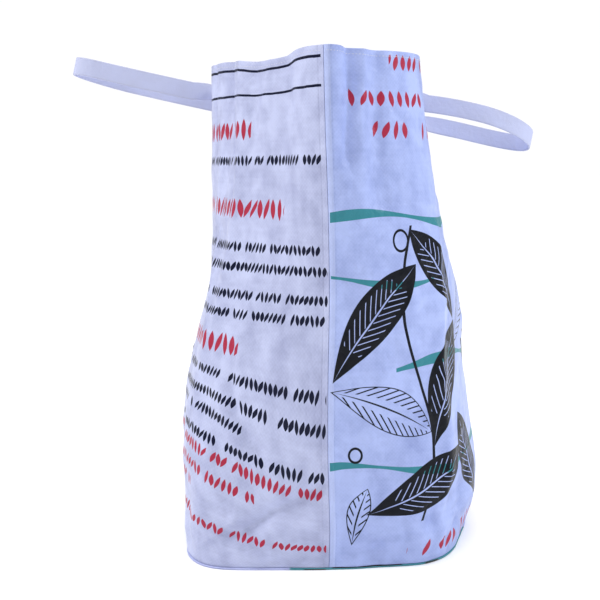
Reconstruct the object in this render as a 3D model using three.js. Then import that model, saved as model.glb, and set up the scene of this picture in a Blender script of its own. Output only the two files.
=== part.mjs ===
// Tall open laundry bag sewn from two lengths of printed feed-sack cloth on a square base, with a
// webbing handle on each side. It stands empty: square at the foot, a little bulged above it, and
// pressed together sideways at the mouth, so that its two side seams are at the near and far ends.
//
// Millimetres, +Z up. The origin is the middle of the base's underside. The near seam is at -Y,
// the picture panel is on +X and the panel with rows of print is on -X.

import * as THREE from "three";

// Driving dimensions
const CLOTH = 2; // a sheet of sack cloth with its print and lamination
const HEM = { height: 22, cloth: 3, step: 6 }; // the top edge turned in, its thickness, and its step
const GAP = 0.3; // between pieces that are sewn together
const BASE = { thickness: 2, lip: 1.5 }; // the base stands out under the wall by its seam's lip
const PANEL_WIDTH = 660; // of each wall panel, seam to seam, on the flat
const WEBBING = { width: 26, thickness: 2.4, tab: 46 }; // the tab is the length sewn to the panel
const STRAND = { knee: 6, draw: 0.98 }; // rise off the tab before a strand turns out, narrowing
const GRID = { across: 38, up: 24 }; // faces of a panel's outer side

// Rows of numbers as objects with the columns' names.
function named(columns, rows) {
  return rows.map((row) => Object.fromEntries(columns.map((column, i) => [column, row[i]])));
}

// How the bag stands: one row for each height. The outline there runs through a loop of corners:
// the near seam, near right, side right, far right, far seam, far left, side left and near left.
// The far corners mirror the near ones, stretched to reach the far seam. "round" is the share of
// each straight stretch that the soft corner takes up.
const SECTION_COLUMNS = [
  "z", "seamX", "seamY", "rightX", "rightY", "leftX", "leftY", "sideR", "sideL", "farY", "round",
];
const SECTIONS = named(SECTION_COLUMNS, [
  [0, 0, -192, 152, -172, -186, -190, 212, -200, 192, 0.34],
  [50, 0, -196, 168, -176, -190, -182, 222, -204, 198, 0.42],
  [100, -1, -199, 166, -172, -190, -174, 226, -207, 203, 0.46],
  [150, -2, -203, 160, -170, -190, -165, 220, -212, 210, 0.48],
  [250, -3, -212, 149, -165, -176, -140, 204, -198, 228, 0.48],
  [350, -4, -220, 144, -160, -156, -118, 192, -174, 248, 0.44],
  [440, -7, -230, 139, -155, -144, -100, 158, -168, 266, 0.38],
  [540, -11, -242, 124, -150, -134, -88, 127, -169, 284, 0.34],
  [650, -14, -252, 108, -148, -130, -80, 120, -167, 300, 0.32],
]);

// How far the mouth's edge dips below the full height, at places along the wall.
// "along" counts from the near seam: positive on the picture panel, negative on the other.
const FULL_HEIGHT = 650;
const MOUTH = [
  { along: -PANEL_WIDTH, dip: 3 },
  { along: -420, dip: 0 },
  { along: -260, dip: 4 },
  { along: -190, dip: 8 },
  { along: -140, dip: 13 },
  { along: -95, dip: 13 },
  { along: -50, dip: 7 },
  { along: 0, dip: 5 },
  { along: 60, dip: 7 },
  { along: 140, dip: 5 },
  { along: 320, dip: 0 },
  { along: PANEL_WIDTH, dip: 3 },
];

// The main folds, each a soft ridge (out above 0) or trough (out below 0) between two places on the
// wall. "wide" is half the width over which it fades.
const FOLD_COLUMNS = ["fromAlong", "fromZ", "toAlong", "toZ", "out", "wide"];
const FOLDS = named(FOLD_COLUMNS, [
  [38, 660, 30, 520, -9, 15],
  [72, 655, 66, 470, -5, 14],
  [14, 655, 10, 540, 3, 12],
  [-176, 655, -172, 380, 6, 16],
  [-172, 380, -196, 270, 5, 18],
  [-70, 650, -84, 480, -5, 24],
  [-228, 640, -236, 420, -7, 20],
  [-178, 205, -112, 128, -6, 18],
  [-8, 96, -130, 40, -5, 18],
  [-150, 110, -190, 30, 5, 20],
  [152, 330, 172, 150, 5, 18],
  [140, 60, 215, 95, -9, 20],
  [190, 40, 262, 34, -6, 16],
  [262, 420, 340, 350, -6, 22],
  [-300, 350, -400, 300, -8, 26],
  [400, 655, 392, 430, -9, 24],
  [520, 655, 508, 480, 7, 24],
  [-360, 655, -372, 440, 8, 26],
  [-500, 655, -488, 430, -8, 26],
  [420, 180, 540, 90, -7, 24],
  [-420, 160, -540, 110, -7, 24],
]);
const FOLDS_END = 60; // folds die out this far from the far seam

// Handles: where each strand leaves the panel and how soon it has twisted upright, the outer end of
// the loop, the length of its turn, and how far it hangs below a straight run. Strands leave level
// with the top of a tab that is sewn upright on the panel; the loop swings from "first" to "last".
const HANDLES = {
  handle_right: {
    first: { along: 362, z: 601, twist: 24 },
    last: { along: 462, z: 577, twist: 76 },
    tip: { x: 304, y: 88, z: 546 },
    turn: 88,
    sag: -7,
  },
  handle_left: {
    first: { along: -470, z: 592, twist: 24 },
    last: { along: -380, z: 609, twist: 44 },
    tip: { x: -364, y: 90, z: 651 },
    turn: 52,
    sag: 1,
  },
};

// Value of every column of a table at a place, by a smooth cubic through its rows.
function readTable(rows, key, at) {
  const last = rows.length - 1;
  const i = THREE.MathUtils.clamp(rows.findIndex((r) => r[key] >= at) - 1, 0, last - 1);
  const [a, b] = [rows[i], rows[i + 1]];
  const step = b[key] - a[key];
  const u = (at - a[key]) / step;
  const slope = (k, column) => {
    const [p, q] = [rows[Math.max(k - 1, 0)], rows[Math.min(k + 1, last)]];
    return (q[column] - p[column]) / (q[key] - p[key]);
  };
  const made = {};
  for (const column of Object.keys(a)) {
    if (column === key) continue;
    made[column] =
      (2 * u ** 3 - 3 * u ** 2 + 1) * a[column] +
      (u ** 3 - 2 * u ** 2 + u) * step * slope(i, column) +
      (3 * u ** 2 - 2 * u ** 3) * b[column] +
      (u ** 3 - u ** 2) * step * slope(i + 1, column);
  }
  return made;
}

// The wall's outline at a height as a closed path of straight stretches and soft corners, which
// starts at the near seam and runs through the picture panel first.
function outline(z) {
  const s = readTable(SECTIONS, "z", z);
  const stretch = s.farY / -s.seamY;
  const middle = (s.seamY + s.farY) / 2;
  const corners = [
    [s.seamX, s.seamY],
    [s.rightX, s.rightY],
    [s.sideR, middle],
    [s.rightX, -s.rightY * stretch],
    [s.seamX, s.farY],
    [s.leftX, -s.leftY * stretch],
    [s.sideL, middle],
    [s.leftX, s.leftY],
  ].map(([x, y]) => new THREE.Vector2(x, y));
  const points = [];
  const steps = 12; // of each soft corner
  corners.forEach((corner, i) => {
    const before = corner.clone().lerp(corners.at(i - 1), s.round);
    const after = corner.clone().lerp(corners[(i + 1) % corners.length], s.round);
    const bend = new THREE.QuadraticBezierCurve(before, corner, after);
    points.push(...bend.getPoints(steps));
  });
  const half = steps / 2;
  const ordered = [...points.slice(half), ...points.slice(0, half + 1)];
  const far = (steps + 1) * (corners.length / 2);
  return { near: ordered.slice(0, far + 1), far: ordered.slice(far) };
}

const outlines = new Map();

// Place on the plain outline, at a distance along the wall from the near seam. A distance past the
// far seam carries on round the other panel.
function onOutline(along, z) {
  const height = Math.round(z * 8) / 8;
  if (!outlines.has(height)) {
    const { near, far } = outline(height);
    const measure = (points) => {
      const marks = [0];
      points.slice(1).forEach((p, i) => marks.push(marks[i] + p.distanceTo(points[i])));
      return { points, marks };
    };
    outlines.set(height, { right: measure(near), left: measure(far.toReversed()) });
  }
  const round = THREE.MathUtils.euclideanModulo(along + PANEL_WIDTH, 2 * PANEL_WIDTH) - PANEL_WIDTH;
  const { points, marks } = outlines.get(height)[round >= 0 ? "right" : "left"];
  const reach = (Math.abs(round) / PANEL_WIDTH) * marks.at(-1);
  const i = THREE.MathUtils.clamp(marks.findIndex((m) => m >= reach) - 1, 0, marks.length - 2);
  const share = (reach - marks[i]) / Math.max(marks[i + 1] - marks[i], 1e-6);
  return points[i].clone().lerp(points[i + 1], share);
}

// How far the folds push the cloth out at a place on the wall.
function foldAt(along, z) {
  const here = new THREE.Vector3(along, z, 0);
  let push = 0;
  for (const fold of FOLDS) {
    const line = new THREE.Line3(
      new THREE.Vector3(fold.fromAlong, fold.fromZ, 0),
      new THREE.Vector3(fold.toAlong, fold.toZ, 0),
    );
    const nearest = line.closestPointToPoint(here, true, new THREE.Vector3());
    push += fold.out * Math.exp(-((nearest.distanceTo(here) / fold.wide) ** 2));
  }
  const toFarSeam = (PANEL_WIDTH - Math.abs(along)) / FOLDS_END;
  const toFoot = z / FOLDS_END;
  return push * THREE.MathUtils.smoothstep(toFarSeam, 0, 1) * THREE.MathUtils.smoothstep(toFoot, 0, 1);
}

// Place and outward direction on the wall's outer face, folds included.
function onWall(along, z) {
  const reach = 6; // to either side, for the outline's direction
  const tangent = onOutline(along + reach, z).sub(onOutline(along - reach, z)).normalize();
  const out = new THREE.Vector3(tangent.y, -tangent.x, 0);
  const place = onOutline(along, z);
  const point = new THREE.Vector3(place.x, place.y, z).addScaledVector(out, foldAt(along, z));
  return { point, out };
}

// A closed body between two grids of points that share their border's layout.
function slabBetween(outer, inner) {
  const [rows, columns] = [outer.length, outer[0].length];
  const points = [...outer.flat(), ...inner.flat()];
  const back = rows * columns;
  const at = (r, c) => r * columns + c;
  const faces = [];
  const quad = (a, b, c, d) => faces.push(a, b, c, a, c, d);
  for (let r = 0; r < rows - 1; r++) {
    for (let c = 0; c < columns - 1; c++) {
      const [a, b, d, e] = [at(r, c), at(r, c + 1), at(r + 1, c + 1), at(r + 1, c)];
      quad(a, b, d, e);
      quad(back + e, back + d, back + b, back + a);
    }
  }
  const border = [];
  for (let c = 0; c < columns - 1; c++) border.push(at(0, c));
  for (let r = 0; r < rows - 1; r++) border.push(at(r, columns - 1));
  for (let c = columns - 1; c > 0; c--) border.push(at(rows - 1, c));
  for (let r = rows - 1; r > 0; r--) border.push(at(r, 0));
  border.forEach((a, i) => {
    const b = border[(i + 1) % border.length];
    quad(b, a, back + a, back + b);
  });
  return geometryOf(points, faces);
}

function geometryOf(points, faces) {
  const geometry = new THREE.BufferGeometry();
  const numbers = points.flatMap((p) => [p.x, p.y, p.z]);
  geometry.setAttribute("position", new THREE.Float32BufferAttribute(numbers, 3));
  geometry.setIndex(faces);
  geometry.computeVertexNormals();
  return geometry;
}

// One wall panel from seam to seam: side is +1 for the picture panel and -1 for the other.
function wallPanel(side) {
  const foot = BASE.thickness + GAP;
  const outer = [];
  const inner = [];
  for (let r = 0; r <= GRID.up; r++) {
    const outerRow = [];
    const innerRow = [];
    for (let c = 0; c <= GRID.across; c++) {
      const share = side > 0 ? c / GRID.across : 1 - c / GRID.across;
      const along = side * (GAP / 2 + share * (PANEL_WIDTH - GAP));
      const mouth = FULL_HEIGHT - readTable(MOUTH, "along", along).dip;
      const z = foot + (mouth - foot) * (r / GRID.up);
      const { point, out } = onWall(along, z);
      const cloth = THREE.MathUtils.lerp(
        CLOTH,
        HEM.cloth,
        THREE.MathUtils.smoothstep(z, mouth - HEM.height - HEM.step, mouth - HEM.height),
      );
      outerRow.push(point);
      innerRow.push(point.clone().addScaledVector(out, -cloth));
    }
    outer.push(outerRow);
    inner.push(innerRow);
  }
  return slabBetween(outer, inner);
}

// The flat base, cut to the foot of the wall and its seam's lip.
function basePanel() {
  const shape = new THREE.Shape();
  const count = GRID.across;
  const edge = [];
  for (let i = 0; i < 2 * count; i++) {
    const along = i < count ? (i / count) * PANEL_WIDTH : ((i - 2 * count) / count) * PANEL_WIDTH;
    const { point, out } = onWall(along, 0);
    edge.push(point.addScaledVector(out, BASE.lip));
  }
  edge.forEach((p, i) => (i ? shape.lineTo(p.x, p.y) : shape.moveTo(p.x, p.y)));
  shape.closePath();
  return new THREE.ExtrudeGeometry(shape, { depth: BASE.thickness, bevelEnabled: false });
}

// The tab of a strand: its middle line up the panel, lifted clear of the wall's bulge, the way it
// rises and the way it faces.
function sewnTab({ along, z }) {
  const [low, high] = [onWall(along, z - WEBBING.tab), onWall(along, z)];
  const out = high.out.clone().add(low.out).normalize();
  const rise = high.point.clone().sub(low.point);
  let proud = 0;
  for (const side of [-1, -0.5, 0, 0.5, 1]) {
    for (const share of [0, 0.25, 0.5, 0.75, 1]) {
      const height = z - WEBBING.tab * (1 - share);
      const wall = onWall(along + (side * WEBBING.width) / 2, height).point;
      const flat = low.point.clone().addScaledVector(rise, share);
      proud = Math.max(proud, wall.sub(flat).dot(out));
    }
  }
  const lift = GAP + proud + WEBBING.thickness / 2;
  for (const end of [low, high]) end.point.addScaledVector(out, lift);
  return { low: low.point, high: high.point, rise: rise.normalize(), out };
}

// How webbing is turned where it runs one way and its width lies another.
function webbingTurn(run, wide) {
  const face = run.clone().cross(wide).normalize();
  const basis = new THREE.Matrix4().makeBasis(run, wide, face);
  return new THREE.Quaternion().setFromRotationMatrix(basis);
}

// A strand from the foot of its tab to where it runs straight out, twisting a quarter turn.
function strandRoot(tab, leave, turnOut, runs) {
  const run = tab.rise.clone().multiplyScalar(runs);
  const turnTab = webbingTurn(run, tab.out.clone().cross(run).normalize());
  const knee = tab.high.clone().addScaledVector(tab.rise, STRAND.knee);
  const curve = new THREE.QuadraticBezierCurve3(tab.high, knee, leave);
  const made = [];
  const onTab = 3;
  for (let i = 0; i <= onTab; i++) {
    made.push({ place: tab.low.clone().lerp(tab.high, i / onTab), turn: turnTab });
  }
  const onTwist = 8;
  for (let i = 1; i <= onTwist; i++) {
    const ease = THREE.MathUtils.smoothstep(i / onTwist, 0, 1);
    made.push({ place: curve.getPoint(i / onTwist), turn: turnTab.clone().slerp(turnOut, ease) });
  }
  return made;
}

// Stations of a handle from one tab's foot to the other's, each with its middle and its turn. The
// loop lies in one slanting plane through the tops of both tabs and the loop's outer end.
function handleStations({ first, last, tip, turn, sag }) {
  const [start, end] = [sewnTab(first), sewnTab(last)];
  const middle = start.high.clone().add(end.high).multiplyScalar(0.5);
  const outward = new THREE.Vector3(tip.x, tip.y, tip.z).sub(middle);
  const length = outward.length();
  outward.normalize();
  const across = end.high.clone().sub(start.high);
  const spread = (STRAND.draw * across.length()) / 2;
  across.normalize();
  const plane = outward.clone().cross(across).normalize();
  const inLoop = (out, side) => {
    const place = middle.clone().addScaledVector(outward, out);
    place.addScaledVector(across, side * spread);
    place.z -= sag * 4 * (out / length) * (1 - out / length);
    return place;
  };
  const turnOut = webbingTurn(outward, plane);
  const turnBack = webbingTurn(outward.clone().negate(), plane);

  const straight = (side, { twist }) => {
    const steps = 4;
    const made = [];
    for (let i = 1; i < steps; i++) {
      const out = THREE.MathUtils.lerp(twist, length - turn, i / steps);
      made.push({ place: inLoop(out, side), turn: side < 0 ? turnOut : turnBack });
    }
    return made;
  };
  const turned = [];
  const turnSteps = 14;
  for (let i = 0; i <= turnSteps; i++) {
    const angle = (i / turnSteps) * Math.PI - Math.PI / 2;
    const out = length - turn + turn * Math.cos(angle);
    const run = outward.clone().multiplyScalar(-turn * Math.sin(angle));
    run.addScaledVector(across, spread * Math.cos(angle)).normalize();
    turned.push({ place: inLoop(out, Math.sin(angle)), turn: webbingTurn(run, plane) });
  }
  return [
    ...strandRoot(start, inLoop(first.twist, -1), turnOut, 1),
    ...straight(-1, first),
    ...turned,
    ...straight(1, last).toReversed(),
    ...strandRoot(end, inLoop(last.twist, 1), turnBack, -1).toReversed(),
  ];
}

// Webbing with rounded edges along a handle's stations.
function handle(name) {
  const [w, t] = [WEBBING.width / 2, WEBBING.thickness / 2];
  const edge = t * 0.3;
  const section = [
    [-w, -edge], [-w + t, -t], [w - t, -t], [w, -edge],
    [w, edge], [w - t, t], [-w + t, t], [-w, edge],
  ];
  const stations = handleStations(HANDLES[name]);
  const points = [];
  for (const { place, turn } of stations) {
    for (const [wide, thick] of section) {
      points.push(new THREE.Vector3(0, wide, thick).applyQuaternion(turn).add(place));
    }
  }
  const n = section.length;
  const faces = [];
  for (let k = 0; k < stations.length - 1; k++) {
    for (let i = 0; i < n; i++) {
      const [a, b] = [k * n + i, k * n + ((i + 1) % n)];
      faces.push(a, b, a + n, b, b + n, a + n);
    }
  }
  const end = (stations.length - 1) * n;
  for (let i = 1; i < n - 1; i++) {
    faces.push(0, i + 1, i);
    faces.push(end, end + i, end + i + 1);
  }
  return geometryOf(points, faces);
}

// Finishes, by the sack's cloth and the webbing
const finishes = {
  sack: { color: 0xccd2ea, roughness: 0.45, metalness: 0 },
  base: { color: 0xc6cce4, roughness: 0.5, metalness: 0 },
  webbing: { color: 0xc9cbe0, roughness: 0.85, metalness: 0 },
};

function piece(name, geometry, finish) {
  const mesh = new THREE.Mesh(geometry, new THREE.MeshStandardMaterial(finishes[finish]));
  mesh.name = name;
  return mesh;
}

const group = new THREE.Group();
group.add(piece("panel_picture", wallPanel(1), "sack"));
group.add(piece("panel_rows", wallPanel(-1), "sack"));
group.add(piece("base_panel", basePanel(), "base"));
for (const name of Object.keys(HANDLES)) group.add(piece(name, handle(name), "webbing"));

export default group;
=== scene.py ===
# Tall open laundry bag sewn from two lengths of printed feed-sack cloth on a square base, with a
# webbing handle on each side. It stands empty, square at the foot and pressed narrow at the mouth.
# +Z is up, the near seam is at -Y, the picture panel is on +X and the panel with rows on -X.
import math

import bmesh
import bpy
import numpy as np
from mathutils import Matrix, Vector, noise


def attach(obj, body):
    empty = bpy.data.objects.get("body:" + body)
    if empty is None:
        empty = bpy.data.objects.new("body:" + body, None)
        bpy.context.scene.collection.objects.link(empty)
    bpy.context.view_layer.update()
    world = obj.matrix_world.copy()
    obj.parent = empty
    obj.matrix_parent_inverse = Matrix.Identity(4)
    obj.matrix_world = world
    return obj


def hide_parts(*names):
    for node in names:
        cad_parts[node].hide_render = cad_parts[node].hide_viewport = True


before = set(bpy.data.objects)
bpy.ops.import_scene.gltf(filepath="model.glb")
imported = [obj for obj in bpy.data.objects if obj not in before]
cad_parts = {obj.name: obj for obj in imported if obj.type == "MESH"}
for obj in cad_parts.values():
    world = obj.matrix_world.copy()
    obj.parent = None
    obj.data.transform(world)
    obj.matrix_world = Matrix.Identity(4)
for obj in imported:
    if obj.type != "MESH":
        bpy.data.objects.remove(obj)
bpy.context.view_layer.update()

# Wall panels. Each is one length of laminated woven polypropylene from the front or the back of a
# feed sack, printed on its outer side. Its long edges are turned in and sewn to the other panel,
# its foot is turned in and sewn to the base, and its top edge is turned in as a hem.
# Sizes are in millimetres on the cloth: "along" counts from the near seam, positive on the picture
# panel and negative on the other, and heights from the floor.
MM = 0.001
PANEL_WIDTH = 660
FULL_HEIGHT = 650
CLOTH = 0.7
FOOT = {"height": 2.8, "fold": 0.9, "flap": 10}
SEAM = {"gap": 0.12, "fold": 0.9, "flap": 12}
HEM = {"fold": 1.1, "flap": 11, "stitched": 6.5}
CLOTH_STEP = 3.9

# How the bag stands, a row for each height: the outline's corners there, and how round they are.
# z, seamX, seamY, rightX, rightY, leftX, leftY, sideR, sideL, farY, round
SECTIONS = [
    (0, 0, -192, 152, -172, -186, -190, 212, -200, 192, 0.34),
    (50, 0, -196, 168, -176, -190, -182, 222, -204, 198, 0.42),
    (100, -1, -199, 166, -172, -190, -174, 226, -207, 203, 0.46),
    (150, -2, -203, 160, -170, -190, -165, 220, -212, 210, 0.48),
    (250, -3, -212, 149, -165, -176, -140, 204, -198, 228, 0.48),
    (350, -4, -220, 144, -160, -156, -118, 192, -174, 248, 0.44),
    (440, -7, -230, 139, -155, -144, -100, 158, -168, 266, 0.38),
    (540, -11, -242, 124, -150, -134, -88, 127, -169, 284, 0.34),
    (650, -14, -252, 108, -148, -130, -80, 120, -167, 300, 0.32),
]
# How far the mouth's edge dips below the full height: along, dip
MOUTH = [
    (-660, 3), (-420, 0), (-260, 4), (-190, 8), (-140, 13), (-95, 13),
    (-50, 7), (0, 5), (60, 7), (140, 5), (320, 0), (660, 3),
]
# Main folds, soft ridges (out above 0) and troughs: from along, from z, to along, to z, out, wide
FOLDS = [
    (38, 660, 30, 520, -9, 15),
    (72, 655, 66, 470, -5, 14),
    (14, 655, 10, 540, 3, 12),
    (-176, 655, -172, 380, 6, 16),
    (-172, 380, -196, 270, 5, 18),
    (-70, 650, -84, 480, -5, 24),
    (-228, 640, -236, 420, -7, 20),
    (-178, 205, -112, 128, -6, 18),
    (-8, 96, -130, 40, -5, 18),
    (-150, 110, -190, 30, 5, 20),
    (152, 330, 172, 150, 5, 18),
    (140, 60, 215, 95, -9, 20),
    (190, 40, 262, 34, -6, 16),
    (262, 420, 340, 350, -6, 22),
    (-300, 350, -400, 300, -8, 26),
    (400, 655, 392, 430, -9, 24),
    (520, 655, 508, 480, 7, 24),
    (-360, 655, -372, 440, 8, 26),
    (-500, 655, -488, 430, -8, 26),
    (420, 180, 540, 90, -7, 24),
    (-420, 160, -540, 110, -7, 24),
]
FOLDS_END = 60
# Creases pressed into the stiff cloth, sharper than the folds, in the same columns
CREASES = [
    (5, 650, 4, 10, 1.3, 5),
    (-228, 640, -203, 530, -2.2, 7),
    (-203, 530, -184, 466, -1.6, 7),
    (-236, 424, -204, 296, 2.2, 8),
    (-138, 246, -124, 204, -2.0, 6),
    (-124, 204, -88, 150, -2.4, 6),
    (-132, 296, -118, 218, 0.9, 4),
    (-118, 218, -112, 144, 0.9, 4),
    (-4, 114, -66, 76, -2.6, 7),
    (-66, 76, -116, 40, -2.6, 7),
    (-66, 76, -84, 12, 2.0, 6),
    (-66, 76, -54, 14, 1.2, 5),
    (-108, 32, -116, 70, 1.4, 5),
    (-138, 16, -174, 44, -2.2, 7),
    (-166, 22, -116, 62, 1.6, 5),
    (-190, 20, -196, 70, -2.2, 7),
    (-106, 640, -124, 560, 1.4, 7),
    (-78, 640, -64, 566, -1.5, 7),
    (-146, 636, -140, 585, -1.2, 6),
    (-20, 640, -26, 590, 1.0, 7),
    (36, 645, 40, 600, -2.0, 6),
    (40, 600, 26, 525, -1.6, 6),
    (56, 645, 52, 586, 1.6, 7),
    (82, 645, 76, 560, -1.6, 7),
    (76, 560, 80, 462, -1.1, 7),
    (94, 494, 148, 380, -1.2, 9),
    (168, 428, 164, 342, 1.6, 7),
    (164, 342, 156, 240, 1.8, 7),
    (156, 240, 162, 120, 1.6, 7),
    (162, 120, 146, 30, 1.6, 7),
    (130, 52, 198, 62, -2.4, 7),
    (148, 20, 190, 44, -2.2, 6),
    (198, 62, 226, 30, -1.8, 6),
    (205, 96, 240, 60, 1.6, 6),
    (38, 94, 14, 14, 1.0, 7),
    (88, 64, 104, 10, -1.2, 7),
    (20, 30, 70, 22, -0.8, 5),
    (250, 640, 246, 540, -1.8, 8),
    (330, 640, 344, 560, 1.6, 8),
    (455, 645, 462, 540, -1.8, 8),
    (560, 645, 548, 520, 1.8, 9),
    (610, 640, 600, 470, -1.5, 8),
    (300, 300, 352, 200, 1.6, 9),
    (380, 260, 330, 150, -1.6, 8),
    (470, 330, 540, 240, 1.6, 9),
    (560, 150, 600, 60, -1.8, 8),
    (330, 60, 400, 30, -2.2, 8),
    (450, 44, 500, 20, 1.8, 7),
    (590, 380, 640, 300, -1.4, 9),
    (-300, 640, -292, 540, -1.8, 8),
    (-420, 645, -410, 560, -1.6, 8),
    (-455, 640, -470, 520, 1.8, 8),
    (-560, 645, -552, 500, -1.8, 9),
    (-615, 640, -604, 480, 1.4, 8),
    (-330, 250, -400, 180, 1.8, 9),
    (-260, 160, -300, 60, -2.2, 8),
    (-350, 90, -400, 30, -2.0, 8),
    (-470, 260, -540, 200, -1.6, 9),
    (-560, 60, -610, 110, 1.8, 8),
    (-480, 40, -520, 18, -1.8, 7),
    (-580, 340, -630, 260, -1.4, 9),
]
# Where webbing is sewn on, the wall lies flatter: along, height
SEWN_PLACES = [(362, 580), (462, 556), (-470, 571), (-380, 588)]
# The cloth has sunk towards the near seam, and its printed rows with it: height, how far
SUNK = [
    (-20, 20), (0, 25), (40, 45), (90, 60), (140, 48),
    (180, 42), (225, 24), (280, 8), (340, 0), (700, 0),
]
# How much the creases are pressed in, and how round they are at the bottom
CREASE = {"depth": 2.1, "blunt": 3}
# Crumples of three sizes, each with how far out it pushes and how wide it is
CRUMPLES = {"wave": (4.4, 62), "fine": (1.5, 24), "sharp": (2.6, 40)}
# The calm cloth round a sewn tab: half its width, half its height, how far above the tab it lies
CALM = {"wide": 36, "tall": 54, "above": 16}
# Thread drawn tight along a seam: how far the cloth puckers, and how far from the seam it reaches
PUCKER = {"out": 0.28, "reach": 6}


def read_table(rows, at):
    """Every column of a table at places in its first column, by a smooth cubic through its rows."""
    table = np.array(rows, float)
    key, last = table[:, 0], len(table) - 1
    order = np.arange(len(table))
    before, after = np.maximum(order - 1, 0), np.minimum(order + 1, last)
    slope = (table[after] - table[before]) / (key[after] - key[before])[:, None]
    i = np.clip(np.searchsorted(key, at) - 1, 0, last - 1)
    step = (key[i + 1] - key[i])[:, None]
    u = (np.asarray(at, float)[:, None] - key[i][:, None]) / step
    return (
        (2 * u**3 - 3 * u**2 + 1) * table[i]
        + (u**3 - 2 * u**2 + u) * step * slope[i]
        + (3 * u**2 - 2 * u**3) * table[i + 1]
        + (u**3 - u**2) * step * slope[i + 1]
    )


def ease(x):
    x = np.clip(x, 0, 1)
    return x * x * (3 - 2 * x)


def on_outline(z, *places):
    """Points on the wall's plain outline at heights z, for one or more sets of places along it."""
    sections = read_table(SECTIONS, z).T[1:]
    seam_x, seam_y, right_x, right_y, left_x, left_y, side_r, side_l, far_y, soft = sections
    stretch, middle = far_y / -seam_y, (seam_y + far_y) / 2
    corners = [
        (seam_x, seam_y), (right_x, right_y), (side_r, middle), (right_x, -right_y * stretch),
        (seam_x, far_y), (left_x, -left_y * stretch), (side_l, middle), (left_x, left_y),
    ]
    corner = np.stack([np.stack(c, -1) for c in corners], 1)
    soft = soft[:, None, None]
    enter = corner + (np.roll(corner, 1, 1) - corner) * soft
    leave = corner + (np.roll(corner, -1, 1) - corner) * soft
    steps = 12
    t = np.linspace(0, 1, steps + 1)[None, None, :, None]
    bend = (
        (1 - t) ** 2 * enter[:, :, None]
        + 2 * t * (1 - t) * corner[:, :, None]
        + t**2 * leave[:, :, None]
    )
    points = bend.reshape(len(z), -1, 2)
    half = steps // 2
    points = np.concatenate([points[:, half:], points[:, : half + 1]], 1)
    lengths = np.linalg.norm(np.diff(points, axis=1), axis=2)
    marks = np.concatenate([np.zeros((len(z), 1)), np.cumsum(lengths, 1)], 1)
    whole, to_far = marks[:, -1], marks[:, (steps + 1) * len(corners) // 2]
    n = np.arange(len(z))
    found = []
    for along in places:
        a = np.mod(along + PANEL_WIDTH, 2 * PANEL_WIDTH) - PANEL_WIDTH
        reach = np.where(a >= 0, a / PANEL_WIDTH * to_far, whole + a / PANEL_WIDTH * (whole - to_far))
        i = np.clip((marks < reach[:, None]).sum(1) - 1, 0, marks.shape[1] - 2)
        share = (reach - marks[n, i]) / np.maximum(marks[n, i + 1] - marks[n, i], 1e-6)
        found.append(points[n, i] + (points[n, i + 1] - points[n, i]) * share[:, None])
    return found


def from_line(along, z, line):
    """How far places are from a line on the cloth."""
    start, run = np.array(line[:2], float), np.array(line[2:4], float) - np.array(line[:2], float)
    share = np.clip(((along - start[0]) * run[0] + (z - start[1]) * run[1]) / (run @ run), 0, 1)
    return np.hypot(along - start[0] - share * run[0], z - start[1] - share * run[1])


def crinkle(along, z, size, seed):
    return np.array([noise.noise((a / size, h / size, seed)) for a, h in zip(along, z)])


def push_at(along, z):
    """How far folds, creases and crinkles push the cloth out."""
    folds = sum(f[4] * np.exp(-((from_line(along, z, f) / f[5]) ** 2)) for f in FOLDS)
    blunt, creases = CREASE["blunt"], 0
    for crease in CREASES:
        away = np.sqrt(from_line(along, z, crease) ** 2 + blunt**2) - blunt
        creases = creases + CREASE["depth"] * crease[4] * np.exp(-away / crease[5])
    crumpled = 0.35 + 0.9 * ease((80 - z) / 70) + 0.5 * ease(crinkle(along, z, 150, 3.1) * 2)
    (wave, wave_size), (fine, fine_size), (ridge, ridge_size) = CRUMPLES.values()
    waves = wave * crinkle(along * 1.6, z, wave_size, 7.7) + fine * crinkle(along, z, fine_size, 1.3)
    sharp = ridge * (0.35 - np.abs(crinkle(along, z * 1.3, ridge_size, 5.9)))
    at_seams = ease((PANEL_WIDTH - abs(along)) / 26) * ease(abs(along) / 18)
    calm = np.ones(len(along))
    for place, height in SEWN_PLACES:
        beside = ((along - place) / CALM["wide"]) ** 4
        calm *= 1 - np.exp(-beside - ((z - height - CALM["above"]) / CALM["tall"]) ** 4)
    crinkles = crumpled * (waves + sharp) * (0.2 + 0.8 * at_seams) * calm
    from_seam = np.minimum(abs(along), PANEL_WIDTH - abs(along))
    ripple = np.sin(z / 2.1 + 2 * np.sin(z / 23))
    pucker = PUCKER["out"] * ripple * np.exp(-from_seam / PUCKER["reach"])
    ends = ease((PANEL_WIDTH - abs(along)) / FOLDS_END)
    foot = ease(z / FOLDS_END)
    creased = creases * (0.3 + 0.7 * ends) * ease(z / 22) * calm
    return folds * ends * foot + creased + crinkles * ease((z + 4) / 18) + pucker


def cloth_at(along, z):
    """Places on the wall's outer face, and its level outward direction there, in millimetres."""
    reach = 6
    back, here, ahead = on_outline(z, along - reach, along, along + reach)
    run = ahead - back
    run /= np.linalg.norm(run, axis=1)[:, None]
    out = np.column_stack([run[:, 1], -run[:, 0], np.zeros(len(z))])
    return np.column_stack([here, z]) + out * push_at(along, z)[:, None], out


def mouth_at(along):
    return FULL_HEIGHT - read_table(MOUTH, along)[:, 1]


def printed_height(along, z):
    """Height on the flat cloth, by which the print runs: the rows sink near the seam and the rim."""
    sunk = read_table(SUNK, z)[:, 1] * ease((along + 240) / 240) * (along < 0)
    mouth = mouth_at(along)
    return z + sunk + (FULL_HEIGHT - mouth) * ease((z - 560) / (mouth - 560))


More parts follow.
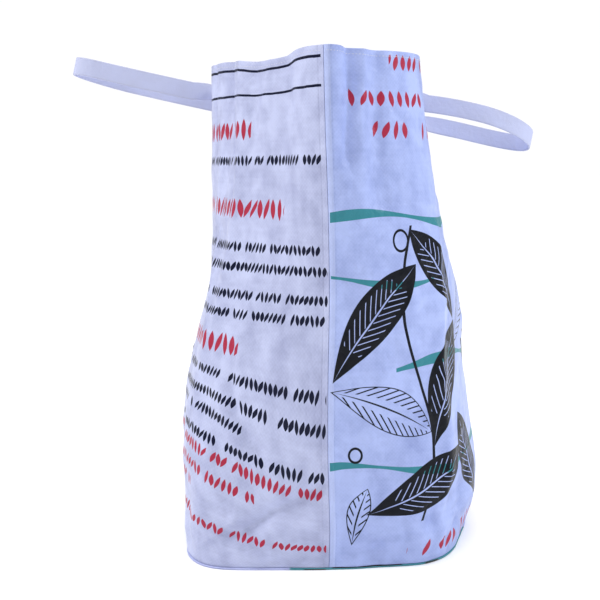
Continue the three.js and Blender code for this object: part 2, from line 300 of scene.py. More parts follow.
def grid_mesh(columns, rows, place):
    """A bmesh grid whose corner at column c and row r lies where place says, with its cloth UV."""
    bm = bmesh.new()
    bmesh.ops.create_grid(bm, x_segments=columns - 1, y_segments=rows - 1, size=0.5)
    c = np.array([round((v.co.x + 0.5) * (columns - 1)) for v in bm.verts])
    r = np.array([round((v.co.y + 0.5) * (rows - 1)) for v in bm.verts])
    points, flat = place(c, r)
    for vertex, point in zip(bm.verts, points):
        vertex.co = Vector(point) * MM
    cloth = bm.loops.layers.uv.new("cloth")
    for face in bm.faces:
        face.smooth = True
        for loop in face.loops:
            loop[cloth].uv = flat[loop.vert.index] * MM
    return bm, c, r


def finish_mesh(name, bm, *materials):
    mesh = bpy.data.meshes.new(name)
    bm.to_mesh(mesh)
    bm.free()
    made = bpy.data.objects.new(name, mesh)
    bpy.context.scene.collection.objects.link(made)
    for material in materials:
        mesh.materials.append(material)
    return made


def wall_columns():
    """Places across a panel from seam to seam, each with how far it is turned inwards."""
    edge = SEAM["gap"] + SEAM["fold"]
    turns = [math.pi / 2 * i / 4 for i in range(4)]
    near = [(SEAM["gap"], reach) for reach in np.linspace(SEAM["flap"], SEAM["fold"] + 2, 3)]
    near += [
        (edge - SEAM["fold"] * math.cos(turn), SEAM["fold"] * (1 - math.sin(turn))) for turn in turns
    ]
    count = round((PANEL_WIDTH - 2 * edge) / CLOTH_STEP)
    across = [(place, 0) for place in np.linspace(edge, PANEL_WIDTH - edge, count)]
    far = [(PANEL_WIDTH - place, inset) for place, inset in reversed(near)]
    return np.array(near + across + far)


def wall_rows():
    """Places up a panel: share of its height, height past that, how far inwards, the fold's length."""
    fold, hem = FOOT["fold"], HEM["fold"]
    flap = [(0, -fold, reach, fold - reach) for reach in np.linspace(FOOT["flap"], fold + 2, 3)]
    turns = [math.pi / 2 * i / 4 for i in range(4)]
    foot = [(0, -fold * math.cos(turn), fold * (1 - math.sin(turn)), 0) for turn in turns]
    count = round(FULL_HEIGHT / CLOTH_STEP)
    up = [(share, 0, 0, 0) for share in np.linspace(0, 1, count)]
    turns = [math.pi * i / 6 for i in range(1, 7)]
    over = [(1, hem * math.sin(turn), hem * (1 - math.cos(turn)), hem * turn) for turn in turns]
    down = [(1, -drop, 2 * hem, drop + 4) for drop in np.linspace(3, HEM["flap"], 4)]
    return np.array(flap + foot + up + over + down)


def thicken(made):
    """Gives a single layer of cloth its thickness inwards, with its second material on the inside."""
    thickness = made.modifiers.new("cloth", "SOLIDIFY")
    thickness.thickness = CLOTH * MM
    thickness.offset = -1
    thickness.material_offset = 1


def wall_sheet(name, side, *materials):
    """A panel with its hem and its turned edges: side is 1 for the picture panel, -1 for the other."""
    columns, rows = wall_columns(), wall_rows()
    if side < 0:
        columns = columns[::-1] * (-1, 1)

    def place(c, r):
        along, seam_inset = columns[c].T
        share, past, row_inset, beyond = rows[r].T
        low = FOOT["height"] + FOOT["fold"]
        high = mouth_at(along) - HEM["fold"]
        z = low + share * (high - low) + past
        points, out = cloth_at(along, z)
        points -= out * (seam_inset + row_inset)[:, None]
        across = along - side * seam_inset * (abs(along) < 300)
        up = printed_height(along, np.minimum(z, high)) + beyond
        return points, np.column_stack([across, up])

    bm, c, r = grid_mesh(len(columns), len(rows), place)
    seam_flap = columns[c][:, 1] > SEAM["fold"] + 0.01
    turned = rows[r][:, 2] > 0.01
    # The hem's flap ends at the seam, so that the two panels' flaps don't cross.
    in_hem = (rows[r][:, 0] > 0.99) & (rows[r][:, 2] > HEM["fold"] * 0.9)
    at_seam = columns[c][:, 1] > 0.01
    spare = []
    for face in bm.faces:
        ids = [v.index for v in face.verts]
        crossed = all(turned[ids]) and any(seam_flap[ids])
        if crossed or (all(in_hem[ids]) and any(at_seam[ids])):
            spare.append(face)
    bmesh.ops.delete(bm, geom=spare, context="FACES")
    made = finish_mesh(name, bm, *materials)
    thicken(made)
    return made


class Field:
    """A number that varies over a surface. Arithmetic on it becomes maths nodes of its material."""

    def __init__(self, tree, socket):
        self.tree = tree
        self.socket = socket

    def node(self, operation, *others, clamp=False):
        made = self.tree.nodes.new("ShaderNodeMath")
        made.operation = operation
        made.use_clamp = clamp
        for value, slot in zip((self, *others), made.inputs):
            if isinstance(value, Field):
                self.tree.links.new(value.socket, slot)
            else:
                slot.default_value = value
        return Field(self.tree, made.outputs[0])

    def __add__(self, other):
        return self.node("ADD", other)

    def __radd__(self, other):
        return self.node("ADD", other)

    def __sub__(self, other):
        return self.node("SUBTRACT", other)

    def __rsub__(self, other):
        return self.node("MULTIPLY_ADD", -1, other)

    def __mul__(self, other):
        return self.node("MULTIPLY", other)

    def __rmul__(self, other):
        return self.node("MULTIPLY", other)

    def __truediv__(self, other):
        return self.node("DIVIDE", other)

    def __abs__(self):
        return self.node("ABSOLUTE")

    def __gt__(self, other):
        return self.node("GREATER_THAN", other)

    def __lt__(self, other):
        return self.node("LESS_THAN", other)


def inked(edge, soft=0.4):
    """1 where edge is above 0, with a soft border that many millimetres wide."""
    return edge.node("MULTIPLY_ADD", 1 / soft, 0.5, clamp=True)


def most(*fields):
    top = fields[0]
    for field in fields[1:]:
        top = top.node("MAXIMUM", field)
    return top


def cloth_material(name, roughness):
    """A material with its shader's fixed values set, and the cloth's own places in millimetres."""
    material = bpy.data.materials.new(name)
    material.use_nodes = True
    tree = material.node_tree
    shader = tree.nodes["Principled BSDF"]
    shader.inputs["Roughness"].default_value = roughness
    shader.inputs["IOR"].default_value = 1.49
    read = tree.nodes.new("ShaderNodeUVMap")
    read.uv_map = "cloth"
    split = tree.nodes.new("ShaderNodeSeparateXYZ")
    tree.links.new(read.outputs["UV"], split.inputs[0])
    u = Field(tree, split.outputs["X"]) * 1000
    v = Field(tree, split.outputs["Y"]) * 1000
    return material, shader, u, v


def random_at(x, y):
    """A random number, and two more, for each pair of whole numbers."""
    tree = x.tree
    join = tree.nodes.new("ShaderNodeCombineXYZ")
    tree.links.new(x.socket, join.inputs[0])
    tree.links.new(y.socket, join.inputs[1])
    white = tree.nodes.new("ShaderNodeTexWhiteNoise")
    white.noise_dimensions = "2D"
    tree.links.new(join.outputs[0], white.inputs["Vector"])
    split = tree.nodes.new("ShaderNodeSeparateColor")
    tree.links.new(white.outputs["Color"], split.inputs[0])
    return [Field(tree, split.outputs[i]) for i in range(3)]


def cloudy(u, v, size, detail=3.0, stretch=1.0):
    """Smooth noise with patches of that size in millimetres, from 0 to 1."""
    tree = u.tree
    join = tree.nodes.new("ShaderNodeCombineXYZ")
    for field, slot in ((u / (size * stretch), 0), (v / size, 1)):
        tree.links.new(field.socket, join.inputs[slot])
    made = tree.nodes.new("ShaderNodeTexNoise")
    made.noise_dimensions = "2D"
    made.inputs["Scale"].default_value = 1.0
    made.inputs["Detail"].default_value = detail
    tree.links.new(join.outputs[0], made.inputs["Vector"])
    return Field(tree, made.outputs[0])


def painted(below, mask, colour):
    """Colour laid over what is below, where the mask is 1."""
    tree = mask.tree
    mix = tree.nodes.new("ShaderNodeMix")
    mix.data_type = "RGBA"
    tree.links.new(mask.socket, mix.inputs["Factor"])
    for value, slot in ((below, mix.inputs[6]), (colour, mix.inputs[7])):
        if isinstance(value, tuple):
            slot.default_value = (*value, 1)
        else:
            tree.links.new(value, slot)
    return mix.outputs[2]


def relief(shader, height):
    """Raised detail, from a height in millimetres."""
    tree = height.tree
    bump = tree.nodes.new("ShaderNodeBump")
    bump.inputs["Distance"].default_value = MM
    tree.links.new(height.socket, bump.inputs["Height"])
    tree.links.new(bump.outputs[0], shader.inputs["Normal"])


def tapes(u, v, width=2.4):
    """The plain weave of flat tapes: 1 on a warp tape that lies over, 0 on a weft tape."""
    turn = math.pi / width
    return (u * turn).node("SINE") * (v * turn).node("SINE") * 0.5 + 0.5


def grain_rows(u, v, rows, tall, pitch, wide, gaps):
    """Rows of slanting rice grains in loose groups. rows: middle height, from along, to along."""
    offset, seed, within = 0, 0, 0
    for number, (middle, start, end) in enumerate(rows):
        away = v - middle
        here = (abs(away) < tall) * (u > start) * (u < end)
        offset = here * away + offset
        seed = here * (number * 37 + 11) + seed
        within = here + within
    count = u / pitch + seed * 0.37
    cell = count.node("FLOOR")
    first, second, third = random_at(cell, seed)
    lean = (second - 0.25) * 0.9
    across = (count - cell - 0.5) * pitch - offset * lean
    bulge = 1 - (offset / tall).node("POWER", 2) * (1 + third * 0.5)
    return inked(bulge * wide * (0.75 + third * 0.4) - abs(across)) * (first > gaps) * within


def sack_ground(u, v, colour, shade):
    """The cloth's colour, streaked and a little darker where tapes cross, with soft patches and long
    hanging bands of painted shade and sheen that stand for the light and dark of its folds.
    """
    # The patches and the hanging bands are painted shade and painted sheen, lighter and darker by
    # turns, not the cloth's own colour; the streaks and the tapes are the weave.
    patches = (cloudy(u, v, 90) - 0.5) * 0.9 + (cloudy(u, v, 26) - 0.5) * 1.2
    painted_fold_shade = (cloudy(u, v, 90, 2.0, stretch=0.3) - 0.5) * 0.8
    streaks = cloudy(u, v, 5, stretch=0.12) * 0.5 + cloudy(u, v, 5, stretch=9.0) * 0.5
    mask = patches + painted_fold_shade + (streaks - 0.5) * 0.7 + tapes(u, v) * 0.18 + 0.26
    return painted(colour, mask.node("MAXIMUM", 0).node("MINIMUM", 1), shade)


def sack_relief(shader, u, v, more=()):
    """Tapes of the weave, fine crumples of the stiff laminated cloth, and more raised fields."""
    crumples = abs(cloudy(u, v, 30, 2.0) - 0.5) * 3.2 + cloudy(u, v, 11, 3.0) * 0.8
    height = tapes(u, v) * 0.09 + crumples
    for field in more:
        height = height + field
    relief(shader, height)


# Paler colour along both seams of the picture panel: partly the double cloth of the turned seam, partly
# a painted highlight on its raised edge
DOUBLE_CLOTH_AND_HIGHLIGHT = (0.60, 0.66, 0.90)
NAVY = (0.004, 0.006, 0.026)
BLACK = (0.004, 0.005, 0.009)
RED = (0.38, 0.028, 0.062)
TEAL = (0.040, 0.22, 0.27)
# Grains: half their height, how far apart, half their width, the share left out
DARK_GRAINS = (7.4, 6.9, 2.9, 0.15)
BOLD_GRAINS = (13.8, 13.0, 5.0, 0.14)
FINE_GRAINS = (8.2, 7.6, 3.0, 0.15)
LARGE_GRAINS = (11.5, 14.5, 4.6, 0.13)
RULE = 1.7
STEM = 2.1
RING = 1.4
# Veins of a leaf: how far apart, half width where left open or drawn, as a share, and their slant
VEIN = {"apart": 11, "open": 0.08, "drawn": 0.13, "slant": 1.3}


def rows_print(u, v, below):
    """Two thin rule lines near the rim, then rows of grains, dark and red."""
    wobble = cloudy(u, v, 40) - 0.5
    rules = most(
        inked(RULE - abs(v - 637.5 + wobble * 3)),
        inked(RULE - abs(v - 602 + wobble * 3)),
    ) * (u < -4)
    dark = [
        (516, -640, -2), (408, -600, -2), (383, -640, -2), (348, -560, -2), (324, -640, -2),
        (250, -640, -2), (224, -600, -2), (202, -640, -112), (174, -640, -2), (488, -640, -420),
    ]
    bold = [(555, -560, -150), (456, -640, -72), (286, -600, -130)]
    fine = [(156, -640, -6), (132, -600, -92), (108, -640, -190), (68, -640, -4)]
    cloth = painted(below, most(rules, grain_rows(u, v, dark, *DARK_GRAINS)), NAVY)
    cloth = painted(cloth, grain_rows(u, v, bold, *BOLD_GRAINS), RED)
    return painted(cloth, grain_rows(u, v, fine, *FINE_GRAINS), RED)


def ribbon(u, v, middle, swing, length, phase, thick, start, end):
    """A wavy band across the panel, thick and thin by turns."""
    turn = 2 * math.pi / length
    line = (u * turn + phase).node("SINE") * swing + middle
    swell = (u * turn * 1.7 + phase * 2).node("SINE") * 0.4 + 0.8
    return inked(swell * thick - abs(v - line)) * (u > start) * (u < end)


def leaf(u, v, across, up, long, wide, angle, bend, hollow):
    """A pointed leaf with a middle rib and slanting veins: its ink, and what stays bare inside it."""
    turn = math.radians(angle)
    cos, sin = math.cos(turn), math.sin(turn)
    du, dv = u - across, v - up
    p = (du * cos + dv * sin) / long
    full = (1 - p * p).node("MAXIMUM", 0)
    q = dv * cos - du * sin - full * bend
    half = full * (1 + p * 0.35) * wide * 1.15
    side = abs(q)
    body = inked(half - side - 0.25)
    rib = inked(full * 1.3 - side - 0.2)
    apart = VEIN["apart"]
    from_vein = abs(((p * long - side * VEIN["slant"]) / apart).node("FRACT") - 0.5)
    veins = inked((VEIN["open"] - from_vein) * apart) * inked(half * 0.74 - side) * inked(side - 2.4)
    if hollow:
        outline = body - inked(half - side - 1.6)
        stroke = inked((VEIN["drawn"] - from_vein) * apart)
        stroke = stroke * inked(half * 0.95 - side) * inked(side - half * 0.35)
        return most(outline, stroke * body, rib * body), 0
    return body, most(rib, veins * (p > -0.5) * (p < 0.6))


def picture_print(u, v, below):
    """Dark leaves on a stem over wavy water lines, with small rings and rows of large red grains."""
    # middle, swing, length, phase, thick, start, end
    water = [
        (446, 8, 300, 0.4, 5.5, 2, 660), (372, 7, 240, 2.1, 4.5, 2, 150),
        (262, 9, 280, 4.0, 6.0, 88, 400), (132, 7, 260, 1.0, 5.0, 2, 330),
        (330, 8, 310, 5.2, 5.5, 300, 655), (190, 8, 260, 2.6, 5.0, 380, 655),
        (88, 6, 250, 0.2, 4.5, 300, 655),
    ]
    # across, up, half length, half width, angle, bend, only drawn in outline
    leaves = [
        (62, 318, 92, 25, 52, 9, False), (158, 372, 78, 21, 128, -8, False),
        (70, 205, 74, 24, -24, 8, True), (176, 232, 86, 27, 66, 10, False),
        (120, 110, 84, 24, 26, -9, False), (38, 70, 40, 12, 75, 4, True),
        (236, 120, 78, 24, 118, 8, False), (262, 330, 84, 22, 40, -10, True),
        (330, 210, 86, 27, 132, 10, False), (352, 96, 74, 22, 18, 8, False),
        (430, 290, 92, 26, 62, -9, False), (486, 150, 84, 26, -32, 9, False),
        (540, 372, 78, 22, 24, 8, True), (590, 240, 84, 25, 110, -9, False),
        (598, 90, 60, 18, 40, 6, False), (410, 410, 70, 19, 150, 7, False),
    ]
    # across, up, radius
    rings = [
        (96, 420, 11), (214, 420, 7), (34, 152, 8), (206, 172, 5.5),
        (300, 270, 9), (470, 372, 11), (400, 170, 7), (560, 150, 9),
    ]
    large = [(636, 96, 640), (590, 26, 300), (552, 70, 262), (590, 470, 640), (24, 100, 420)]
    ground = painted(below, most(*[ribbon(u, v, *line) for line in water]), TEAL)
    stems = most(
        inked(STEM - abs(u - 118 - ((v - 60) / 62).node("SINE") * 22)) * (v > 60) * (v < 438),
        inked(STEM - abs(u - 400 - ((v - 90) / 70).node("SINE") * 26)) * (v > 60) * (v < 430),
    )
    ink, bare = stems, 0
    for across, up, long, wide, angle, bend, hollow in leaves:
        body, open_lines = leaf(u, v, across, up, long, wide, angle, bend, hollow)
        ink = most(ink, body)
        if not hollow:
            bare = open_lines + bare
    ink = ink - bare.node("MINIMUM", 1)
    circles = []
    for across, up, radius in rings:
        du, dv = u - across, v - up
        away = (du * du + dv * dv * 0.75).node("SQRT")
        circles.append(inked(RING - abs(away - radius)))
    marks = most(ink.node("MAXIMUM", 0), *circles)
    cloth = painted(ground, marks, BLACK)
    return painted(cloth, grain_rows(u, v, large, *LARGE_GRAINS), RED)


def sack_cloth(name, colour, shade, printing, strength=1.0):
    """Laminated woven sack cloth with its print. From inside, the print shows through faintly."""
    material, shader, u, v = cloth_material(name, 0.36)
    shader.inputs["Specular IOR Level"].default_value = 0.14
    ground = sack_ground(u, v, colour, shade)
    from_seam = (abs(u) - PANEL_WIDTH / 2) * -1 + PANEL_WIDTH / 2
    from_seam = from_seam.node("MINIMUM", abs(u))
    # Along its seams the picture panel is painted paler: partly the double cloth, partly a painted
    # highlight on the raised seam.
    seam_strip = inked(SEAM["flap"] * 0.6 - from_seam, 1.2) * (u > 0)
    ground = painted(ground, seam_strip * 0.3, DOUBLE_CLOTH_AND_HIGHLIGHT)
    inks = printing(u, v, ground)
    if strength < 1:
        seen = Field(material.node_tree, ground)
        inks = painted(ground, seen * 0 + strength, inks)
    material.node_tree.links.new(inks, shader.inputs["Base Color"])
    stitch_line = inked(1.1 - abs(from_seam - SEAM["flap"] * 0.6), 1.6)
    sack_relief(shader, u, v, [seam_strip * 0.25, stitch_line * -0.45])
    return material


SEEN_THROUGH = 0.12
# Each face's own colour, and the darker colour laid over it in the weave and in the patches and bands
# of painted shade
PICTURE_FACE = ((0.42, 0.50, 0.84), (0.27, 0.33, 0.62))
ROWS_FACE = ((0.52, 0.56, 0.79), (0.33, 0.355, 0.55))
INSIDE = ((0.50, 0.54, 0.80), (0.36, 0.40, 0.64))
picture_cloth = sack_cloth("sack cloth with picture", *PICTURE_FACE, picture_print)
picture_inside = sack_cloth("sack cloth inside, right", *INSIDE, picture_print, SEEN_THROUGH)
rows_cloth = sack_cloth("sack cloth with rows", *ROWS_FACE, rows_print)
rows_inside = sack_cloth("sack cloth inside, left", *INSIDE, rows_print, SEEN_THROUGH)

for name, side, materials, slot in (
    ("panel_picture", 1, (picture_cloth, picture_inside), "sack_cloth_picture"),
    ("panel_rows", -1, (rows_cloth, rows_inside), "sack_cloth_rows"),
):
    panel = wall_sheet(f"{name}_cloth", side, *materials)
    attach(panel, "root")
    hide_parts(name)

# Base. One piece of the same sack cloth, cut to the square foot with round corners and sewn to both
# panels all round. Its edge turns up and in, so a narrow welt of its printed side shows under them.
BASE = {"lip": 1.4, "fold": 1.25, "flap": 9, "step": 5, "sag": 2.2}
# The base's own colour, and the darker colour laid over it in the weave and in patches of painted shade
BASE_FACE = ((0.46, 0.50, 0.80), (0.31, 0.34, 0.60))
# Print on the welt: ink, from along, to along, from how far past the edge, to how far
BASE_EDGE_INKS = [
    (TEAL, -47, 270, -9, 9), (BLACK, -30, -4, -9, 2.4), (BLACK, 4, 96, 2.8, 9),
    (BLACK, 128, 150, -9, 3.4), (TEAL, 350, 420, -9, 9), (BLACK, -360, -270, -9, 3),
    (TEAL, -520, -455, -9, 9),
]


def base_sheet(name, *materials):
    around = round(2 * PANEL_WIDTH / BASE["step"])
    columns = np.linspace(-PANEL_WIDTH, PANEL_WIDTH, around + 1)
    fold, inward = BASE["fold"], np.linspace(0, 1, 38)
    flat_rows = [(share, 0, 0, 0) for share in inward]
    turns = [math.pi * i / 6 for i in range(1, 7)]
    turned = [(1, fold * (1 - math.sin(t)) - fold, fold * (1 - math.cos(t)), fold * t) for t in turns]
    flap = [(1, reach, 2 * fold, math.pi * fold + reach) for reach in np.linspace(3, BASE["flap"], 3)]
    rows = np.array(flat_rows + turned + flap)

    def place(c, r):
        along = columns[c]
        share, inset, lift, beyond = rows[r].T
        edge, out = cloth_at(along, np.zeros(len(c)))
        edge += out * (BASE["lip"] - fold - inset)[:, None]
        edge[:, :2] *= share[:, None]
        settled = ease((1 - share) * 9)
        bumps = np.array([noise.noise((x / 46, y / 46, 4.4)) for x, y, _ in edge])
        edge[:, 2] = lift + BASE["sag"] * settled * np.maximum(bumps, 0)
        reach = np.hypot(edge[:, 0], edge[:, 1])
        inside_edge = reach - reach[r == len(inward) - 1].mean()
        return edge, np.column_stack([along, np.where(share < 1, inside_edge, beyond)])

    bm, _, _ = grid_mesh(len(columns), len(rows), place)
    bmesh.ops.remove_doubles(bm, verts=bm.verts, dist=0.05 * MM)
    made = finish_mesh(name, bm, *materials)
    thicken(made)
    return made


def base_cloth(name, colour, shade, printed):
    """Sack cloth whose weave lies square to the floor, with bits of print cut off at its edge."""
    material, shader, along, past = cloth_material(name, 0.45)
    tree = material.node_tree
    read = tree.nodes.new("ShaderNodeTexCoord")
    split = tree.nodes.new("ShaderNodeSeparateXYZ")
    tree.links.new(read.outputs["Object"], split.inputs[0])
    x, y = (Field(tree, split.outputs[i]) * 1000 for i in (0, 1))
    cloth = sack_ground(x, y, colour, shade)
    if printed:
        for ink, start, end, low, high in BASE_EDGE_INKS:
            span = inked(along - start, 3) * inked(end - along, 3) * (past > low) * (past < high)
            cloth = painted(cloth, span, ink)
    tree.links.new(cloth, shader.inputs["Base Color"])
    sack_relief(shader, x, y)
    return material


base = base_sheet(
    "base_cloth",
    base_cloth("base cloth", *BASE_FACE, True),
    base_cloth("base cloth inside", *INSIDE, False),
)
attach(base, "root")
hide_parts("base_panel")

# Handles. Each is one length of pale polypropylene webbing. Its two ends are sewn flat and upright
# on a panel, and from there both strands twist a quarter turn and stand out as a stiff level loop.
# For each end: where its tab's top is on the wall, and how far out the strand is fully turned.
WEBBING = {"width": 26, "thick": 2.3, "tab": 46, "clear": 0.35, "rib": 1.5}
STRAND = {"knee": 6, "draw": 0.98}
HANDLES = {
    "handle_right": {
        "first": (362, 601, 24), "last": (462, 577, 76), "tip": (304, 88, 546), "turn": 88, "sag": -7,
    },
    "handle_left": {
        "first": (-470, 592, 24), "last": (-380, 609, 44), "tip": (-364, 90, 651), "turn": 52, "sag": 1,
    },
}
TAB_STATIONS = 12


def wall_place(along, z):
    points, out = cloth_at(np.array([along], float), np.array([z], float))
    return Vector(points[0]), Vector(out[0])


def webbing_turn(run, wide):
    return Matrix((run, wide, run.cross(wide).normalized())).transposed().to_quaternion()


def strap_root(tab, leave, turn_out, runs):
    """Stations of a strand from its tab's foot to where it runs straight out, twisting on the way."""
    along, top, _ = tab
    low, low_out = wall_place(along, top - WEBBING["tab"])
    high, high_out = wall_place(along, top)
    out, rise = (low_out + high_out).normalized(), (high - low).normalized()
    lift = out * (WEBBING["clear"] + WEBBING["thick"] / 2)
    run = rise * runs
    turn_tab = webbing_turn(run, out.cross(run).normalized())
    side = out.cross(run).dot(Vector((-high_out.y, high_out.x, 0)))
    stations = []
    for i in range(TAB_STATIONS):
        up = i / (TAB_STATIONS - 1)
        sewn = (along, top - WEBBING["tab"] * (1 - up), math.copysign(1, side))
        stations.append((low.lerp(high, up) + lift, turn_tab, sewn))
    start, knee = high + lift, high + lift + rise * STRAND["knee"]
    on_twist = 16
    for i in range(1, on_twist + 1):
        t = i / on_twist
        place = start * (1 - t) ** 2 + knee * 2 * t * (1 - t) + leave * t * t
        stations.append((place, turn_tab.slerp(turn_out, t * t * (3 - 2 * t)), None))
    return stations


def strap_stations(first, last, tip, turn, sag):
    """Middle, turn and place on the wall of every station from one tab's foot to the other's."""
    tops = []
    for along, top, _ in (first, last):
        point, out = wall_place(along, top)
        tops.append(point + out * (WEBBING["clear"] + WEBBING["thick"] / 2))
    middle = (tops[0] + tops[1]) / 2
    outward, across = Vector(tip) - middle, tops[1] - tops[0]
    length, spread = outward.length, STRAND["draw"] * across.length / 2
    outward.normalize()
    across.normalize()
    plane = outward.cross(across).normalized()

    def in_loop(out, side):
        hang = Vector((0, 0, -sag * 4 * (out / length) * (1 - out / length)))
        return middle + outward * out + across * side * spread + hang

    turn_out, turn_back = webbing_turn(outward, plane), webbing_turn(-outward, plane)
    bend = []
    for angle in np.linspace(-math.pi / 2, math.pi / 2, 33):
        out = length - turn + turn * math.cos(angle)
        run = outward * -turn * math.sin(angle) + across * spread * math.cos(angle)
        bend.append((in_loop(out, math.sin(angle)), webbing_turn(run.normalized(), plane), None))
    near, far = (np.linspace(twist, length - turn, 12)[1:-1] for _, _, twist in (first, last))
    return [
        *strap_root(first, in_loop(first[2], -1), turn_out, 1),
        *[(in_loop(out, -1), turn_out, None) for out in near],
        *bend,
        *[(in_loop(out, 1), turn_back, None) for out in reversed(far)],
        *reversed(strap_root(last, in_loop(last[2], 1), turn_back, -1)),
    ]


def strap_section():
    """Once round the webbing: across its width, and across its thickness."""
    w, t = WEBBING["width"] / 2, WEBBING["thick"] / 2
    faces = np.linspace(-1, 1, 9) * (w - t)
    top = [(wide, t) for wide in faces]
    edge = [(w - t + t * math.sin(a), t * math.cos(a)) for a in np.linspace(0, math.pi, 6)[1:-1]]
    return [*top, *edge, *[(-wide, -thick) for wide, thick in top + edge], top[0]]


def strap(name, ends, material):
    stations, section = strap_stations(**ends), strap_section()
    middles = [station[0] for station in stations]
    lengths = np.cumsum([0] + [(b - a).length for a, b in zip(middles, middles[1:])])
    face_out = {}

    def place(c, r):
        points, flat = [], []
        for column, row in zip(c, r):
            middle, turn, sewn = stations[row]
            wide, thick = section[column]
            point = middle + turn @ Vector((0, wide, thick))
            if sewn:
                along, z, side = sewn
                key = (row, round(wide, 3))
                if key not in face_out:
                    face_out[key] = wall_place(along + side * wide, z)
                wall, out = face_out[key]
                facing = (turn @ Vector((0, 0, 1))).dot(out)
                lift = WEBBING["clear"] + WEBBING["thick"] / 2
                point = wall + out * (lift + math.copysign(thick, thick * facing))
            points.append(point)
            flat.append((wide, lengths[row]))
        return points, np.array(flat)

    bm, c, r = grid_mesh(len(section), len(stations), place)
    bmesh.ops.remove_doubles(bm, verts=bm.verts, dist=0.02 * MM)
    ends = [edge for edge in bm.edges if edge.is_boundary]
    bmesh.ops.holes_fill(bm, edges=ends, sides=len(section) + 2)
    bmesh.ops.recalc_face_normals(bm, faces=bm.faces)
    return finish_mesh(name, bm, material), lengths[-1]


def webbing_cloth():
    """Pale woven webbing with crosswise ribs, a firmer selvedge on each edge and patchy dirt; the
    selvedges and the hollows between the ribs are painted darker as shade.
    """
    material, shader, across, along = cloth_material("webbing", 0.6)
    weave = along * (2 * math.pi / WEBBING["rib"]) + (across * 1.9).node("SINE") * 0.7
    rib = weave.node("SINE") * 0.5 + 0.5
    selvedge = inked(abs(across) - (WEBBING["width"] / 2 - 2.2), 0.5)
    # Patchy dirt, with painted shade darkening the selvedges and the hollows between the ribs.
    dirt_and_painted_shade = cloudy(across, along, 30) * 0.45 + selvedge * 0.22 + (1 - rib) * 0.16 - 0.1
    cloth = painted((0.51, 0.55, 0.79), dirt_and_painted_shade.node("MAXIMUM", 0), (0.42, 0.43, 0.56))
    material.node_tree.links.new(cloth, shader.inputs["Base Color"])
    relief(shader, rib * 0.16 + selvedge * 0.14 + cloudy(across, along, 7) * 0.5)
    return material


webbing = webbing_cloth()
for name, ends in HANDLES.items():
    made, length = strap(f"{name}_strap", ends, webbing)
    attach(made, "root")
    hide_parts(name)
    wall = "panel_picture_cloth" if "right" in name else "panel_rows_cloth"
    length * MM

# Stitching. White thread: one line round the hem, and a box with a cross in it on each of the four
# webbing tabs. Every stitch is a short grain of thread lying on the cloth.
STITCH = {"long": 2.9, "gap": 1.0, "thick": 0.75, "proud": 0.1}
# How far a tab's box of stitches lies in from the webbing's sides and from the tab's ends
TAB_BOX = {"side": 4, "end": 5}


def thread_line(bm, path):
    """Stitches along a path of (place, outward direction) that is closely spaced."""
    places = [point for point, _ in path]
    lengths = np.cumsum([0] + [(b - a).length for a, b in zip(places, places[1:])])
    pitch = STITCH["long"] + STITCH["gap"]
    for start in np.arange(STITCH["gap"] / 2, lengths[-1] - STITCH["long"], pitch):
        i, j = np.searchsorted(lengths, (start, start + STITCH["long"]))
        j = min(j, len(path) - 1)
        run, out = places[j] - places[i], (path[i][1] + path[j][1]).normalized()
        if run.length < 0.5:
            continue
        side = out.cross(run).normalized()
        centre = (places[i] + places[j]) / 2 + out * STITCH["proud"]
        turn = Matrix((run, side * STITCH["thick"], out * STITCH["thick"])).transposed().to_4x4()
        bmesh.ops.create_icosphere(
            bm, subdivisions=1, radius=0.5 * MM, matrix=Matrix.Translation(centre * MM) @ turn
        )


def thread():
    material, shader, _, _ = cloth_material("thread", 0.7)
    tree = material.node_tree
    made = tree.nodes.new("ShaderNodeTexNoise")
    made.inputs["Scale"].default_value = 900
    read = tree.nodes.new("ShaderNodeTexCoord")
    tree.links.new(read.outputs["Object"], made.inputs["Vector"])
    cloth = painted((0.72, 0.73, 0.80), Field(tree, made.outputs[0]), (0.52, 0.53, 0.62))
    tree.links.new(cloth, shader.inputs["Base Color"])
    return material


white_thread = thread()
for side, wall in ((1, "panel_picture_cloth"), (-1, "panel_rows_cloth")):
    bm = bmesh.new()
    along = side * np.arange(3, PANEL_WIDTH - 3, 0.7)
    points, out = cloth_at(along, mouth_at(along) - HEM["stitched"])
    thread_line(bm, [(Vector(p), Vector(o)) for p, o in zip(points, out)])
    hem = finish_mesh(f"hem_stitching_{'right' if side > 0 else 'left'}", bm, white_thread)
    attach(hem, "root")
for name, ends in HANDLES.items():
    bm = bmesh.new()
    w, tab = WEBBING["width"] / 2 - TAB_BOX["side"], WEBBING["tab"]
    low, high = TAB_BOX["end"], tab - TAB_BOX["end"]
    box = [(-w, low), (w, low), (w, high), (-w, high), (-w, low)]
    corners = [*box, (w, high), (w, high), (-w, high), (w, low)]
    for along, top, _ in (ends["first"], ends["last"]):
        for (x0, y0), (x1, y1) in zip(corners, corners[1:]):
            steps = max(2, round(math.hypot(x1 - x0, y1 - y0) / 0.6))
            path = []
            for t in np.linspace(0, 1, steps):
                wall, out = wall_place(along + x0 + (x1 - x0) * t, top - tab + y0 + (y1 - y0) * t)
                path.append((wall + out * (WEBBING["clear"] + WEBBING["thick"]), out))
            thread_line(bm, path)
    stitched = finish_mesh(f"{name}_stitching", bm, white_thread)
    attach(stitched, "root")

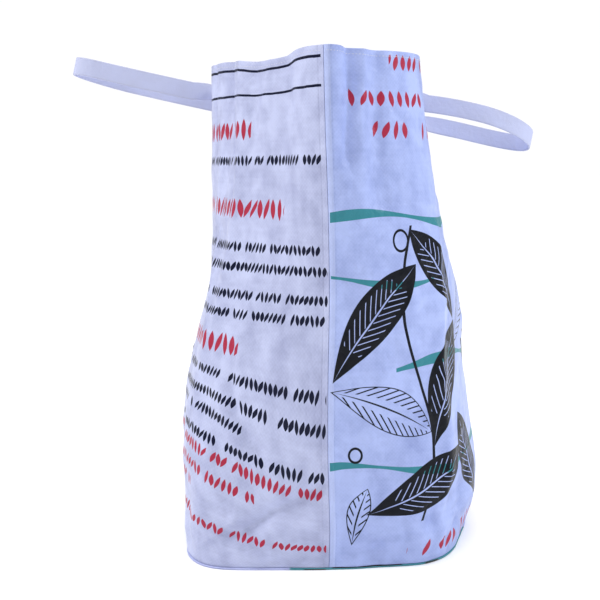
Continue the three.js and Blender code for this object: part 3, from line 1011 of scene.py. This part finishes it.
# Stage and light: a plain pale floor under a soft white sky, with a soft lamp from each side and an
# even light from above.
FLOOR_REACH = 40
FLOOR_TONE = 0.97
floor_mesh = bmesh.new()
bmesh.ops.create_circle(floor_mesh, cap_ends=True, segments=64, radius=FLOOR_REACH)
floor_paint = bpy.data.materials.new("pale floor")
floor_paint.use_nodes = True
floor_shader = floor_paint.node_tree.nodes["Principled BSDF"]
floor_shader.inputs["Base Color"].default_value = (FLOOR_TONE, FLOOR_TONE, FLOOR_TONE, 1)
floor_shader.inputs["Roughness"].default_value = 0.8
floor = finish_mesh("floor", floor_mesh, floor_paint)

# The sky is plain white to look at and lights the bag less than that, so that its folds show.
SKY = {"seen": 1.02, "lighting": 0.40}
sky = bpy.data.worlds.new("soft white sky")
sky.use_nodes = True
sky_tree = sky.node_tree
ray = Field(sky_tree, sky_tree.nodes.new("ShaderNodeLightPath").outputs["Is Camera Ray"])
brightness = ray * (SKY["seen"] - SKY["lighting"]) + SKY["lighting"]
sky_tree.nodes["Background"].inputs["Color"].default_value = (1.0, 1.0, 1.0, 1)
sky_tree.links.new(brightness.socket, sky_tree.nodes["Background"].inputs["Strength"])
bpy.context.scene.world = sky


def soft_lamp(name, place, target, size, power, colour):
    light = bpy.data.lights.new(name, "AREA")
    light.shape = "SQUARE"
    light.size = size
    light.energy = power
    light.color = colour
    lamp = bpy.data.objects.new(name, light)
    bpy.context.scene.collection.objects.link(lamp)
    lamp.location = place
    lamp.rotation_mode = "QUATERNION"
    lamp.rotation_quaternion = (Vector(target) - Vector(place)).to_track_quat("-Z", "Y")


soft_lamp("key", (-2.5, -0.5, 2.1), (0, 0, 0.35), 0.6, 34, (1.0, 0.985, 0.965))
soft_lamp("side", (2.4, -0.4, 1.8), (0, 0, 0.3), 0.7, 31, (0.90, 0.94, 1.0))
# An even light from straight above keeps the whole floor white.
above = bpy.data.lights.new("above", "SUN")
above.energy = 2.3
above.angle = math.radians(70)
bpy.context.scene.collection.objects.link(bpy.data.objects.new("above", above))
bpy.context.scene.view_settings.view_transform = "Standard"

# Camera at the photograph's place: level with the bag's upper third, a little left of its middle.
CAMERA = {"place": (-0.040, -1.26, 0.510), "pitch": 8.6, "lens": 53.28, "sensor": 36}
eye = bpy.data.cameras.new("camera")
eye.lens = CAMERA["lens"]
eye.sensor_width = CAMERA["sensor"]
camera = bpy.data.objects.new("camera", eye)
bpy.context.scene.collection.objects.link(camera)
camera.location = CAMERA["place"]
camera.rotation_euler = (math.radians(90 - CAMERA["pitch"]), 0, 0)
bpy.context.scene.camera = camera
